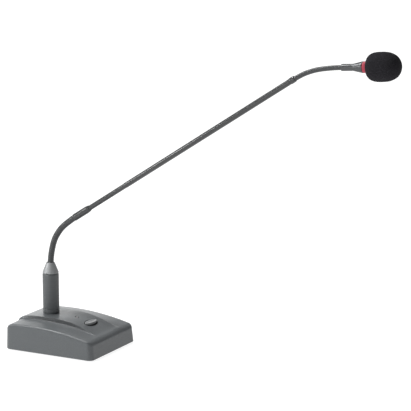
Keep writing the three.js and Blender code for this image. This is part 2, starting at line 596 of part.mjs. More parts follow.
function buildHead() {
  const rise = THREE.MathUtils.degToRad(HEAD_RISE);
  const place = { at: HEAD_START, along: [0, -Math.cos(rise), Math.sin(rise)] };
  const flexBore = UPPER_FLEX_RADIUS + GAP;
  const r = HEAD_RADIUS;
  const ring = RING_START;
  const ferrule = turned([
    [flexBore, -FERRULE_REACH], [FERRULE_RADIUS, -FERRULE_REACH], [FERRULE_RADIUS, 11.5], [r, ring - 1.7],
    [r, ring - GAP], [r - 1.3, ring - GAP], [r - 1.3, ring - 2.5], [2, ring - 4.5], [2, 0.6],
    [flexBore, 0.6], [flexBore, -FERRULE_REACH],
  ], 28);
  piece('head_ferrule', ferrule, paleMetal, place);
  piece('light_ring', sleeve(r, r - 1.4, ring, ring + RING_LENGTH, 32), redLens, place);
  piece('ring_light_board', sleeve(r - 1.8, 1.5, ring + 0.5, ring + 1.7, 16), boardGreen, place);

  const housingStart = ring + RING_LENGTH + GAP;
  const housingEnd = housingStart + HOUSING_LENGTH;
  const housing = sleeve(r, r - 0.9, housingStart, housingEnd, 28);
  const slots = headSlots(6, housingStart + 5, housingStart + 18.5, 1.6);
  piece('capsule_housing', cut(housing, ...slots), satinMetal, place);
  const capsuleBack = housingEnd - CAPSULE_DEPTH;
  const gasket = sleeve(r - 1.2, 2.4, capsuleBack - 2.5, capsuleBack - GAP, 20);
  piece('capsule_gasket', gasket, blackRubber, place);
  piece('microphone_capsule', turned([
    [0, capsuleBack], [r - 1.3, capsuleBack], [r - 1.3, capsuleBack + 5.5], [r - 2.1, capsuleBack + 5.9],
    [r - 2.1, capsuleBack + 5.4], [0, capsuleBack + 5.4],
  ], 20), paleMetal, place);
  const lid = turned([
    [0, housingEnd - 1.6], [r - 1.2, housingEnd - 1.6], [r - 1.2, housingEnd + GAP], [r, housingEnd + GAP],
    [r, housingEnd + 1.6], [r * 0.75, housingEnd + 3], [0, housingEnd + 3.6],
  ], 28);
  const holeSpots = [[0, 0], ...Array.from({ length: 6 }, (_, i) => (
    [2.7 * Math.cos((i * Math.PI) / 3), 2.7 * Math.sin((i * Math.PI) / 3)]
  ))];
  const holes = holeSpots.map(([x, y]) => disc(0.7, housingEnd - 3, housingEnd + 5, 8).translate(x, y, 0));
  piece('capsule_grille', cut(lid, ...holes), satinMetal, place);
  piece('foam_windscreen', foamSolid(housingStart + GAP, housingEnd + 4.2), foamBlack, place);
}

// Egg-shaped foam: blunt at the neck, longer and rounder at the outer end, with a bore for the head.
function foamSolid(start, boreEnd) {
  const bore = HEAD_RADIUS + GAP;
  const middle = start + FOAM.middle;
  const radiusAt = (t) => {
    const neckSide = t < middle;
    const reach = neckSide ? FOAM.neckReach : FOAM.length - FOAM.middle;
    const power = neckSide ? FOAM.neckPower : FOAM.tipPower;
    return FOAM.radius * Math.max(1 - (Math.abs(t - middle) / reach) ** power, 0) ** (1 / power);
  };
  const steps = 18;
  const outline = Array.from({ length: steps + 1 }, (_, i) => {
    const t = start + (FOAM.length * (1 - Math.cos((i / steps) * Math.PI))) / 2;
    return [i === steps ? 0 : radiusAt(t), t];
  });
  return turned([[0, boreEnd], [bore, boreEnd], [bore, start], ...outline], 24);
}

buildBase();
buildControls();
buildSockets();
buildPlug();
buildNeck();
buildHead();

export default microphone;
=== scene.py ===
"""Looks for the desktop gooseneck microphone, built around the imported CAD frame. Metres, +Z up."""
import json
import math

import bmesh
import bpy
from mathutils import Matrix, Vector, noise


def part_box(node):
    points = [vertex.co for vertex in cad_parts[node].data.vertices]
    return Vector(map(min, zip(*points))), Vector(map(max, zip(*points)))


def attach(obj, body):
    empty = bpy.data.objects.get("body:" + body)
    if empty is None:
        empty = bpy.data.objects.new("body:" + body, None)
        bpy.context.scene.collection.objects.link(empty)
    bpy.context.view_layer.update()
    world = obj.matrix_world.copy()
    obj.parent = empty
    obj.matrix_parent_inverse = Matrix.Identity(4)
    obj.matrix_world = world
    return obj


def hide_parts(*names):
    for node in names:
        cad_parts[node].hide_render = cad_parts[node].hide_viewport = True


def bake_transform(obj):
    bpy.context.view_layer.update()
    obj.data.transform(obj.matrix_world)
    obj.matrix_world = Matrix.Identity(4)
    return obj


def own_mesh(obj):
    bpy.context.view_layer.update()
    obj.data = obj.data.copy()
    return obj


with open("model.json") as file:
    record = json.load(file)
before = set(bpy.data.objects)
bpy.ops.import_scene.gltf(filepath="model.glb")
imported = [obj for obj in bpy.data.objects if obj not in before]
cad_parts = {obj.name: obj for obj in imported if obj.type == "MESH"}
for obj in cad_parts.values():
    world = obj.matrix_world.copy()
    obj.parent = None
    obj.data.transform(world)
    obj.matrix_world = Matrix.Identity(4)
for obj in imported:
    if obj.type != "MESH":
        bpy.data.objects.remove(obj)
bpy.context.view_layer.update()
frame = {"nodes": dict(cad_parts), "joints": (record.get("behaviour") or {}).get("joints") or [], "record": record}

MM = 0.001
nodes = frame["nodes"]
joints = {j["name"]: j for j in frame["joints"]}
scene = bpy.context.scene

# ---------- the base's shape, in millimetres ----------
# The panel's fall, its flare and the wings' swell are a little less than the CAD solid's.
HALF_WIDTH = 54.65
HALF_DEPTH = 64.65
CORNER_RADIUS = 7.0
WALL = 2.5
SHELL_BOTTOM = 1.2
WING_PEAK, WING_PEAK_Y, WING_ARC = 35.0, 29.0, 1 / 720
PANEL_PEAK, PANEL_FLAT_FRONT, PANEL_FLAT_REAR, PANEL_FALL = 40.5, 10.0, 31.0, 0.0039
STEP_X, STEP_RUN, STEP_FLARE, STEP_FADE, WING_SWELL = 24.0, 2.2, 0.0003, 1.2, 0.30
EDGE_RADIUS = 2.6
FRONT_ROUND, REAR_ROUND = (10.0, 6.5), (14.0, 10.5)
LEAN_SIDE, LEAN_FRONT, LEAN_REAR = 0.6, 1.8, 0.6
NECK_Y = 28.6
BUTTON_Y, BUTTON_HALF_LENGTH, BUTTON_HALF_WIDTH, BUTTON_GAP = -30.8, 12.0, 5.6, 0.9
LED_Y, LED_RADIUS, LED_GAP = -10.0, 2.2, 0.3
SOCKET_HOLE_RADIUS = 10.0
JACK_Z, JACK_HOLE_Y, JACK_HOLE_RADIUS = 14.5, 58, 5.9
TOP_CUT_LOW, TOP_CUT_HIGH = 20, 60
RIM_ROUNDING = 0.35
CREASE_DEGREES = 38

# ---------- the neck and head ----------
LOWER_FLEX = [(28.6, 96), (28.3, 107), (26.0, 123), (20.8, 139.2), (11.1, 153.1), (-2.5, 164.5),
              (-17.6, 174.4), (-28.2, 181.2)]
UPPER_FLEX = [(-311.3, 361.5), (-324.9, 368.8), (-339.1, 373.8), (-353.9, 376.6), (-368.8, 378.35),
              (-374.4, 378.75)]
TUBE_START, TUBE_END = Vector((0, -28.2, 181.2)), Vector((0, -311.3, 361.5))
HEAD_START, HEAD_RISE = Vector((0, -374.4, 378.75)), math.radians(3.8)
RING_START, RING_LENGTH, HEAD_RADIUS = 24.5, 4.1, 6.7
FOAM_RADIUS, FOAM_LENGTH, FOAM_MIDDLE = 17.25, 40.5, 18.5
FOAM_NECK_REACH, FOAM_NECK_POWER, FOAM_TIP_POWER = 19.2, 3.2, 2.3
FOAM_PORES = ((1.15, 0.16), (2.3, 0.10), (0.25, 0.12))  # fineness and depth of each layer of pores
FOAM_PORE_SINK = 0.12
LOWER_FLEX_RADIUS, UPPER_FLEX_RADIUS = 4.0, 3.0
SWAGE_DEPTH, SWAGE_START, SWAGE_RUN = 0.5, 85.5, 1.5  # the lower flex narrows inside its sleeve


# ---------- camera ----------
def build_camera():
    azimuth, elevation, distance = math.radians(-62.5), math.radians(11.14), 2.5
    target = Vector((0.37587, 0.0, 0.11796))
    back = Vector((math.sin(azimuth) * math.cos(elevation), -math.cos(azimuth) * math.cos(elevation),
                   math.sin(elevation)))
    data = bpy.data.cameras.new("camera")
    data.lens = 149.37
    data.sensor_width = 36.0
    data.clip_end = 100.0
    camera = bpy.data.objects.new("camera", data)
    camera.location = target + back * distance
    camera.rotation_euler = back.to_track_quat("Z", "Y").to_euler()
    scene.collection.objects.link(camera)
    scene.camera = camera


# ---------- materials ----------
class Finish:
    """A Principled material whose colour, roughness and relief come from procedural textures."""

    def __init__(self, name, **sockets):
        self.material = bpy.data.materials.new(name)
        self.material.use_nodes = True
        self.tree = self.material.node_tree
        self.shader = self.tree.nodes["Principled BSDF"]
        for socket, value in sockets.items():
            self.shader.inputs[socket.replace("_", " ")].default_value = value
        self.place = self.tree.nodes.new("ShaderNodeTexCoord").outputs["Object"]
        self.height = None

    def node(self, kind, **values):
        made = self.tree.nodes.new("ShaderNode" + kind)
        for key, value in values.items():
            setattr(made, key, value)
        return made

    def link(self, source, target):
        self.tree.links.new(source, target)

    def stretched(self, scale):
        mapping = self.node("Mapping")
        mapping.inputs["Scale"].default_value = scale
        self.link(self.place, mapping.inputs["Vector"])
        return mapping.outputs["Vector"]

    def noise(self, scale, detail=3.0, stretch=(1, 1, 1), roughness=0.55):
        texture = self.node("TexNoise")
        texture.inputs["Scale"].default_value = scale
        texture.inputs["Detail"].default_value = detail
        texture.inputs["Roughness"].default_value = roughness
        self.link(self.stretched(stretch), texture.inputs["Vector"])
        return texture.outputs["Fac"]

    def cells(self, scale, feature="F1"):
        texture = self.node("TexVoronoi", feature=feature)
        texture.inputs["Scale"].default_value = scale
        self.link(self.place, texture.inputs["Vector"])
        return texture.outputs["Distance"]

    def spread(self, value, low, high, from_low=0.3, from_high=0.7):
        remap = self.node("MapRange")
        remap.inputs["From Min"].default_value = from_low
        remap.inputs["From Max"].default_value = from_high
        remap.inputs["To Min"].default_value = low
        remap.inputs["To Max"].default_value = high
        self.link(value, remap.inputs["Value"])
        return remap.outputs["Result"]

    def tones(self, pattern, dark, light, low=0.3, high=0.7):
        ramp = self.node("ValToRGB")
        ramp.color_ramp.elements[0].position = low
        ramp.color_ramp.elements[0].color = (*dark, 1)
        ramp.color_ramp.elements[1].position = high
        ramp.color_ramp.elements[1].color = (*light, 1)
        self.link(pattern, ramp.inputs["Fac"])
        return ramp.outputs["Color"]

    def colour(self, pattern, dark, light, low=0.3, high=0.7):
        self.link(self.tones(pattern, dark, light, low, high), self.shader.inputs["Base Color"])
        return self

    def combine(self, operation, first, second):
        made = self.node("Math", operation=operation)
        for socket, value in zip(made.inputs, (first, second)):
            if isinstance(value, (int, float)):
                socket.default_value = value
            else:
                self.link(value, socket)
        return made.outputs["Value"]

    def rough(self, pattern, low, high):
        self.link(self.spread(pattern, low, high), self.shader.inputs["Roughness"])
        return self

    def relief(self, pattern, strength, distance):
        bump = self.node("Bump")
        bump.inputs["Strength"].default_value = strength
        bump.inputs["Distance"].default_value = distance
        self.link(pattern, bump.inputs["Height"])
        if self.height:
            self.link(self.height, bump.inputs["Normal"])
        self.height = bump.outputs["Normal"]
        self.link(self.height, self.shader.inputs["Normal"])
        return self


def grey(value, cool=1.0):
    """A grey that leans to blue-green as much as cool says."""
    return (value, value * (1 + 0.075 * cool), value * (1 + 0.12 * cool))


def shell_finish():
    """Dark grey moulded plastic with a fine satin texture, and painted shade: a darker colour on the step beside
    the raised panel.
    """
    f = Finish("base_shell_finish", Specular_IOR_Level=0.3)
    # Painted shade: a band over the step beside the raised panel, fading out towards the front and the rear, gets
    # a darker colour.
    split = f.node("SeparateXYZ")
    f.link(f.place, split.inputs["Vector"])
    across = f.combine("ABSOLUTE", split.outputs["X"], 0)
    off_step = f.combine("ABSOLUTE", f.combine("SUBTRACT", across, (STEP_X + STEP_RUN * 0.5) * MM), 0)
    step_shade_band = f.spread(off_step, 1, 0, STEP_RUN * 0.45 * MM, STEP_RUN * 0.85 * MM)
    ahead = f.spread(split.outputs["Y"], 0, 1, -48 * MM, -22 * MM)
    behind = f.spread(split.outputs["Y"], 1, 0, 47 * MM, 57 * MM)
    painted_step_shade = f.combine("MULTIPLY", step_shade_band, f.combine("MULTIPLY", ahead, behind))
    mix = f.node("Mix", data_type="RGBA")
    f.link(painted_step_shade, mix.inputs["Factor"])
    f.link(f.tones(f.noise(900, 2), grey(0.098), grey(0.124)), mix.inputs[6])
    # The darker tones below are painted shade on the step.
    f.link(f.tones(f.noise(900, 2), grey(0.045), grey(0.060)), mix.inputs[7])
    f.link(mix.outputs[2], f.shader.inputs["Base Color"])
    f.rough(f.noise(350, 3), 0.28, 0.34)
    return f.relief(f.noise(2600, 2), 0.25, 0.00006).relief(f.noise(60, 2), 0.12, 0.0002).material


def button_finish():
    f = Finish("button_finish", Specular_IOR_Level=0.35)
    f.colour(f.noise(1200, 2), grey(0.14, 0.5), grey(0.18, 0.5))
    f.rough(f.noise(500, 3), 0.42, 0.50)
    return f.relief(f.noise(3200, 2), 0.2, 0.00005).material


def turned_metal(name, dark, light, rough_low, rough_high, grain=(50, 50, 4000), metallic=0.9):
    """Lathe-turned or drawn metal: fine streaks across one direction."""
    f = Finish(name, Metallic=metallic)
    f.colour(f.noise(1.0, 4, grain), dark, light)
    f.rough(f.noise(1.0, 3, tuple(g * 0.6 for g in grain)), rough_low, rough_high)
    return f.relief(f.noise(1.6, 3, grain), 0.05, 0.00001).material


def coil_finish():
    """Blackened steel winding, slightly uneven in tone."""
    f = Finish("wound_neck_finish", Specular_IOR_Level=0.5)
    f.colour(f.noise(420, 4), grey(0.028), grey(0.045))
    f.rough(f.noise(700, 3), 0.26, 0.34)
    return f.relief(f.noise(3000, 2), 0.15, 0.00004).material


def tube_finish():
    """Glossy dark grey lacquer over steel."""
    f = Finish("neck_tube_finish", Specular_IOR_Level=0.5, Coat_Weight=0.3, Coat_Roughness=0.22)
    f.colour(f.noise(300, 3), grey(0.024), grey(0.034))
    f.rough(f.noise(220, 3), 0.26, 0.34)
    return f.relief(f.noise(1800, 2), 0.05, 0.00002).material


def foam_finish():
    """Charcoal open-cell foam."""
    f = Finish("windscreen_foam_finish", Specular_IOR_Level=0.1)
    f.colour(f.cells(1500), (0.005, 0.005, 0.006), (0.025, 0.024, 0.028), 0.1, 0.75)
    f.rough(f.noise(800, 3), 0.86, 0.98)
    return f.relief(f.cells(1300), 0.9, 0.0004).relief(f.noise(420, 4), 0.5, 0.0004).material


def red_lens_finish():
    f = Finish("red_lens_finish", Specular_IOR_Level=0.25)
    f.colour(f.noise(260, 3), (0.33, 0.030, 0.055), (0.45, 0.055, 0.085))
    f.rough(f.noise(500, 2), 0.42, 0.54)
    return f.relief(f.noise(900, 2), 0.1, 0.00005).material


def smoked_lens_finish():
    f = Finish("smoked_lens_finish", Transmission_Weight=0.2, IOR=1.49, Coat_Weight=0.4)
    f.colour(f.noise(900, 3), (0.020, 0.012, 0.013), (0.045, 0.020, 0.022))
    f.rough(f.noise(900, 2), 0.14, 0.24)
    return f.relief(f.noise(1500, 2), 0.08, 0.00003).material


def rubber_finish():
    f = Finish("rubber_finish", Specular_IOR_Level=0.3)
    f.colour(f.noise(500, 4), (0.010, 0.010, 0.010), (0.022, 0.022, 0.021))
    f.rough(f.noise(300, 4), 0.72, 0.9)
    return f.relief(f.noise(1600, 3), 0.4, 0.0001).material


def black_plastic_finish():
    f = Finish("black_plastic_finish", Specular_IOR_Level=0.4)
    f.colour(f.noise(700, 3), (0.012, 0.012, 0.013), (0.024, 0.024, 0.026))
    f.rough(f.noise(400, 3), 0.42, 0.58)
    return f.relief(f.noise(2200, 2), 0.2, 0.00005).material


def board_finish():
    f = Finish("circuit_board_finish", Coat_Weight=0.25)
    f.colour(f.cells(420, "DISTANCE_TO_EDGE"), (0.02, 0.11, 0.055), (0.012, 0.06, 0.03), 0.0, 0.15)
    f.rough(f.noise(600, 2), 0.3, 0.45)
    return f.relief(f.cells(420, "DISTANCE_TO_EDGE"), 0.2, 0.00005).material


def iron_finish():
    f = Finish("ballast_iron_finish", Metallic=0.6)
    f.colour(f.noise(180, 6), (0.03, 0.03, 0.032), (0.075, 0.07, 0.068))
    f.rough(f.noise(220, 5), 0.6, 0.85)
    return f.relief(f.noise(500, 6), 0.7, 0.0004).material


def build_materials():
    streak_x, even = (60, 900, 900), (1200, 1200, 1200)
    return {
        "base_shell": shell_finish(),
        "button_plastic": button_finish(),
        "barrel_metal": turned_metal("barrel_metal_finish", grey(0.080, 1.1), grey(0.100, 1.1), 0.46, 0.54,
                                     metallic=0.15),
        "cone_metal": turned_metal("cone_metal_finish", grey(0.28, 0.4), grey(0.35, 0.4), 0.44, 0.52,
                                   metallic=0.4),
        "wound_neck": coil_finish(),
        "neck_tube": tube_finish(),
        "windscreen_foam": foam_finish(),
        "red_lens": red_lens_finish(),
        "smoked_lens": smoked_lens_finish(),
        "anti_slip_rubber": rubber_finish(),
        "gasket_rubber": rubber_finish(),
        "black_plastic": black_plastic_finish(),
        "circuit_board": board_finish(),
        "ballast_iron": iron_finish(),
        "steel_plate": turned_metal("steel_plate_finish", grey(0.42), grey(0.55), 0.30, 0.45, streak_x),
        "zinc_screw": turned_metal("zinc_screw_finish", grey(0.48), grey(0.60), 0.25, 0.40),
        "spring_steel": turned_metal("spring_steel_finish", grey(0.35), grey(0.50), 0.25, 0.35),
        "gold_contact": turned_metal("gold_contact_finish", (0.62, 0.42, 0.13), (0.80, 0.58, 0.22), 0.15,
                                     0.25),
        "black_steel": turned_metal("black_steel_finish", grey(0.03), grey(0.06), 0.35, 0.50),
        "capsule_metal": turned_metal("capsule_metal_finish", grey(0.07, 0.5), grey(0.09, 0.5), 0.30, 0.36,
                                      even, metallic=0.6),
    }


# ---------- mesh helpers ----------
def piece(name, verts, faces, slot, sharp_degrees=CREASE_DEGREES):
    """A smooth-shaded mesh from millimetre points, with its creases marked sharp."""
    mesh = bpy.data.meshes.new(name)
    mesh.from_pydata([Vector(v) * MM for v in verts], [], faces)
    obj = bpy.data.objects.new(name, mesh)
    scene.collection.objects.link(obj)
    tidy(obj, sharp_degrees)
    obj.data.materials.append(finishes[slot])
    return obj


def tidy(obj, sharp_degrees):
    bm = bmesh.new()
    bm.from_mesh(obj.data)
    bmesh.ops.recalc_face_normals(bm, faces=bm.faces)
    limit = math.radians(sharp_degrees)
    for edge in bm.edges:
        edge.smooth = not (edge.is_manifold and edge.calc_face_angle(0) > limit)
    for face in bm.faces:
        face.smooth = True
    bm.to_mesh(obj.data)
    bm.free()


def stitched(rings):
    """Points and faces joining equal rings in order, with one flat face across each end."""
    count = len(rings[0])
    verts = [point for ring in rings for point in ring]
    faces = []
    for k in range(len(rings) - 1):
        a, b = k * count, (k + 1) * count
        faces += [(a + i, a + (i + 1) % count, b + (i + 1) % count, b + i) for i in range(count)]
    faces.append(tuple(range(count))[::-1])
    faces.append(tuple(range(len(verts) - count, len(verts))))
    return verts, faces


def softened(profile, radius=0.35, steps=3):
    """The closed profile with each corner replaced by a short arc."""
    out = []
    count = len(profile)
    for i, here in enumerate(profile):
        before, after = Vector(profile[i - 1]), Vector(profile[(i + 1) % count])
        corner = Vector(here)
        reach_in, reach_out = (before - corner), (after - corner)
        reach = min(radius, reach_in.length * 0.45, reach_out.length * 0.45)
        if corner.x < 1e-6 or reach < 1e-4:
            out.append(tuple(corner))
            continue
        start, end = corner + reach_in.normalized() * reach, corner + reach_out.normalized() * reach
        for k in range(steps + 1):
            t = k / steps
            out.append(tuple(start * (1 - t) ** 2 + corner * 2 * t * (1 - t) + end * t ** 2))
    return out


def turned(name, profile, slot, origin=(0, 0, 0), along=(0, 0, 1), segments=72, soften=0.35):
    """A solid of revolution from a closed (radius, height) profile, about an axis through origin."""
    points = softened(profile, soften) if soften else profile
    turn = Vector((0, 0, 1)).rotation_difference(Vector(along)).to_matrix()
    verts, faces, rows = [], [], []
    for radius, height in points:
        if radius < 1e-6:
            rows.append([len(verts)] * segments)
            verts.append(turn @ Vector((0, 0, height)) + Vector(origin))
            continue
        rows.append(list(range(len(verts), len(verts) + segments)))
        for i in range(segments):
            angle = 2 * math.pi * i / segments
            local = Vector((radius * math.cos(angle), radius * math.sin(angle), height))
            verts.append(turn @ local + Vector(origin))
    for k, row in enumerate(rows):
        after = rows[(k + 1) % len(rows)]
        for i in range(segments):
            j = (i + 1) % segments
            corners = list(dict.fromkeys((row[i], row[j], after[j], after[i])))
            if len(corners) > 2:
                faces.append(corners)
    return piece(name, verts, faces, slot)


def carve(obj, cutters):
    """Cuts the shapes out of obj and rounds the new rims a little."""
    for cutter in cutters:
        modifier = obj.modifiers.new("cut", "BOOLEAN")
        modifier.operation = "DIFFERENCE"
        modifier.solver = "EXACT"
        modifier.object = cutter
    bevel = obj.modifiers.new("rim", "BEVEL")
    bevel.width = RIM_ROUNDING * MM
    bevel.segments = 2
    bevel.limit_method = "ANGLE"
    bevel.angle_limit = math.radians(55)
    bevel.use_clamp_overlap = True
    depsgraph = bpy.context.evaluated_depsgraph_get()
    mesh = bpy.data.meshes.new_from_object(obj.evaluated_get(depsgraph))
    obj.modifiers.clear()
    obj.data = mesh
    for cutter in cutters:
        bpy.data.objects.remove(cutter)
    tidy(obj, CREASE_DEGREES)


def ring_of(half_length, half_width, x, y, z, count):
    return [(x + half_length * math.cos(2 * math.pi * i / count),
             y + half_width * math.sin(2 * math.pi * i / count), z) for i in range(count)]


def cutter(half_length, half_width, x, y, bottom, top, count=72):
    rings = [ring_of(half_length, half_width, x, y, z, count) for z in (bottom, top)]
    verts, faces = stitched(rings)
    return piece("cutter", verts, faces, "base_shell")


# ---------- base ----------
def clamp01(value):
    return min(1.0, max(0.0, value))


def smooth(value):
    value = clamp01(value)
    return value * value * (3 - 2 * value)


def rounding_drop(rounding, distance):
    radius, run = rounding
    into = max(run - distance, 0)
    return radius - math.sqrt(radius * radius - into * into)


def top_height(x, y):
    wing = WING_PEAK - WING_ARC * (y - WING_PEAK_Y) ** 2
    past = max(PANEL_FLAT_FRONT - y, y - PANEL_FLAT_REAR, 0)
    climb = PANEL_PEAK - PANEL_FALL * past * past - wing
    rise = (climb + math.sqrt(climb * climb + STEP_FADE * STEP_FADE)) / 2
    foot = STEP_X + STEP_FLARE * max(PANEL_FLAT_FRONT - y, 0) ** 2 + STEP_RUN
    share = WING_SWELL * clamp01((HALF_WIDTH - abs(x)) / (HALF_WIDTH - foot)) ** 1.1
    share += (1 - share) * smooth((foot - abs(x)) / STEP_RUN)
    front = rounding_drop(FRONT_ROUND, HALF_DEPTH - LEAN_FRONT + y)
    rear = rounding_drop(REAR_ROUND, HALF_DEPTH - LEAN_REAR - y)
    return wing + rise * share - front - rear


def shell_rows(side, front, rear, corner, count, arc_steps):
    half = HALF_WIDTH - side
    low, high = -HALF_DEPTH + front, HALF_DEPTH - rear
    radius = max(CORNER_RADIUS - corner, 0.8)
    arcs = [(i / arc_steps) * math.pi / 2 for i in range(1, arc_steps + 1)]
    rows = [(low + radius - radius * math.sin(a), half - radius + radius * math.cos(a))
            for a in reversed(arcs)]
    rows += [(low + radius + (high - low - 2 * radius) * i / count, half) for i in range(count + 1)]
    rows += [(high - radius + radius * math.sin(a), half - radius + radius * math.cos(a)) for a in arcs]
    return rows


def shell_columns(coarse, fine):
    """Column positions as shares of the half width, packed closely where the panel steps up."""
    near, far = 0.41, 0.56
    shares = [i * near / coarse for i in range(1, coarse)]
    shares += [near + (far - near) * i / fine for i in range(fine)]
    shares += [far + (1 - far) * i / coarse for i in range(coarse + 1)]
    return [-s for s in reversed(shares)] + [0.0] + shares


def shell_surface(wall, bottom, count, arc_steps, columns, edge_steps):
    """Points and faces of the base's outer form, moved inward by wall and closed at the bottom."""
    verts, faces, loops = [], [], []

    def grid(side, front, rear, corner, height):
        rows = []
        for y, half in shell_rows(side, front, rear, corner, count, arc_steps):
            rows.append(range(len(verts), len(verts) + len(columns)))
            verts.extend((u * half, y, height(u * half, y)) for u in columns)
        left = [row[0] for row in reversed(rows[1:-1])]
        right = [row[-1] for row in rows[1:-1]]
        loops.append(list(rows[0]) + right + list(reversed(rows[-1])) + left)
        return rows

    def fill(rows, flip):
        for lower, upper in zip(rows, rows[1:]):
            for i in range(len(columns) - 1):
                face = (lower[i], lower[i + 1], upper[i + 1], upper[i])
                faces.append(face[::-1] if flip else face)

    foot = 0.6 if wall == 0 else 0.0
    fill(grid(wall + foot, wall + foot, wall + foot, wall + foot, lambda x, y: bottom), True)
    if foot:
        grid(wall, wall, wall, wall, lambda x, y: bottom + foot)
    for step in range(edge_steps + 1):
        angle = (math.pi / 2) * step / edge_steps
        by = EDGE_RADIUS * (1 - math.cos(angle))
        drop = EDGE_RADIUS * (1 - math.sin(angle))
        rows = grid(wall + LEAN_SIDE + by, wall + LEAN_FRONT + by, wall + LEAN_REAR + by, wall + by,
                    lambda x, y: top_height(x, y) - drop - wall)
    fill(rows, False)
    for lower, upper in zip(loops, loops[1:]):
        for i in range(len(lower)):
            j = (i + 1) % len(lower)
            faces.append((lower[i], lower[j], upper[j], upper[i]))
    return verts, faces


def build_shell():
    outer_surface = shell_surface(0, SHELL_BOTTOM, 100, 10, shell_columns(26, 26), 6)
    inner_surface = shell_surface(WALL, -4, 24, 4, shell_columns(6, 6), 2)
    outer = piece("base_shell", *outer_surface, "base_shell")
    inner = piece("cutter", *inner_surface, "base_shell")
    through_top = (TOP_CUT_LOW, TOP_CUT_HIGH)
    socket = cutter(SOCKET_HOLE_RADIUS, SOCKET_HOLE_RADIUS, 0, NECK_Y, *through_top)
    button = cutter(BUTTON_HALF_LENGTH + BUTTON_GAP, BUTTON_HALF_WIDTH + BUTTON_GAP, 0, BUTTON_Y,
                    *through_top, 96)
    led = cutter(LED_RADIUS + LED_GAP, LED_RADIUS + LED_GAP, 0, LED_Y, *through_top, 40)
    jack = cutter(JACK_HOLE_RADIUS, JACK_HOLE_RADIUS, 0, 0, 0, 12, 48)
    place = Matrix.Translation((0, JACK_HOLE_Y * MM, JACK_Z * MM))
    jack.data.transform(place @ Matrix.Rotation(-math.pi / 2, 4, "X"))
    carve(outer, [inner, socket, button, led, jack])
    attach(outer, "base")
    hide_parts("base_housing")


def build_button():
    """An oval cap with a soft edge and a shallow dish, standing on a narrower black skirt whose black is partly
    painted shade for the gap round the cap.
    """
    low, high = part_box("push_button")
    top, bottom = high.z / MM - 0.1, low.z / MM

    def oval(inset, drop):
        half_width = max(BUTTON_HALF_WIDTH - inset, 0.3)
        return ring_of(BUTTON_HALF_LENGTH - inset, half_width, 0, BUTTON_Y, top - drop, 96)

    cap = piece("button_cap", *stitched([oval(*at) for at in (
        (1.0, 2.6), (0.15, 2.6), (0.0, 2.45), (0.0, 1.1), (0.12, 0.55), (0.4, 0.2), (0.8, 0.04), (1.2, 0.0),
        (2.0, 0.15), (3.0, 0.4), (4.0, 0.6), (5.1, 0.7))]), "button_plastic", 50)
    # The skirt is black plastic, and its black also stands in as painted shade in the dark gap round the cap.
    skirt = piece("button_shade_skirt", *stitched([oval(*at) for at in (
        (1.0, 9.4), (-1.4, 9.4), (-1.4, 8.5), (0.9, 8.3), (0.9, 2.5), (2.0, 2.5))]), "black_plastic", 50)
    stem = turned("button_stem", [(0, bottom), (2.2, bottom), (2.2, top - 9), (0, top - 9)], "black_plastic",
                  (0, BUTTON_Y, 0), segments=40)
    for part in (cap, skirt, stem):
        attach(part, "button")
    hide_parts("push_button")


def build_led():
    top = top_height(0, LED_Y)
    profile = [(0, top - 8), (LED_RADIUS, top - 8), (LED_RADIUS, top - 0.35)]
    profile += [(LED_RADIUS * math.cos(a), top - 0.35 + 0.4 * math.sin(a)) for a in (0.35, 0.7, 1.05, 1.35)]
    profile.append((0, top + 0.05))
    lens = turned("led_lens", profile, "smoked_lens", (0, LED_Y, 0), segments=48, soften=0)
    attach(lens, "base")
    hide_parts("indicator_light")


def build_spring():
    """A real wound spring under the cap, carried with the base."""
    low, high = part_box("button_spring")
    centre, turns, wire, radius = BUTTON_Y, 5, 0.4, 3.45
    steps, sides = turns * 28, 10
    rings = []
    for k in range(steps + 1):
        t = k / steps
        angle = 2 * math.pi * turns * t
        middle = Vector((radius * math.cos(angle), centre + radius * math.sin(angle),
                         low.z / MM + wire + (high.z - low.z - 2 * wire * MM) / MM * t))
        out = Vector((math.cos(angle), math.sin(angle), 0))
        rings.append([middle + (out * math.cos(a) + Vector((0, 0, 1)) * math.sin(a)) * wire
                      for a in (2 * math.pi * i / sides for i in range(sides))])
    verts, faces = stitched(rings)
    spring = piece("button_coil_spring", verts, faces, "spring_steel")
    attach(spring, "base")
    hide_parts("button_spring")
    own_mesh(spring)


# ---------- neck ----------
def spline(points, samples=40):
    """A centripetal Catmull-Rom curve through (y, z) points, as a dense list of points in X = 0."""
    pts = [Vector((0, y, z)) for y, z in points]
    pts = [2 * pts[0] - pts[1]] + pts + [2 * pts[-1] - pts[-2]]
    line = []
    for a, b, c, d in zip(pts, pts[1:], pts[2:], pts[3:]):
        ta = 0.0
        tb = ta + (b - a).length ** 0.5
        tc = tb + (c - b).length ** 0.5
        td = tc + (d - c).length ** 0.5
        for k in range(samples):
            t = tb + (tc - tb) * k / samples
            ab = a * (tb - t) / (tb - ta) + b * (t - ta) / (tb - ta)
            bc = b * (tc - t) / (tc - tb) + c * (t - tb) / (tc - tb)
            cd = c * (td - t) / (td - tc) + d * (t - tc) / (td - tc)
            left = ab * (tc - t) / (tc - ta) + bc * (t - ta) / (tc - ta)
            right = bc * (td - t) / (td - tb) + cd * (t - tb) / (td - tb)
            line.append(left * (tc - t) / (tc - tb) + right * (t - tb) / (tc - tb))
    return line + [pts[-2]]


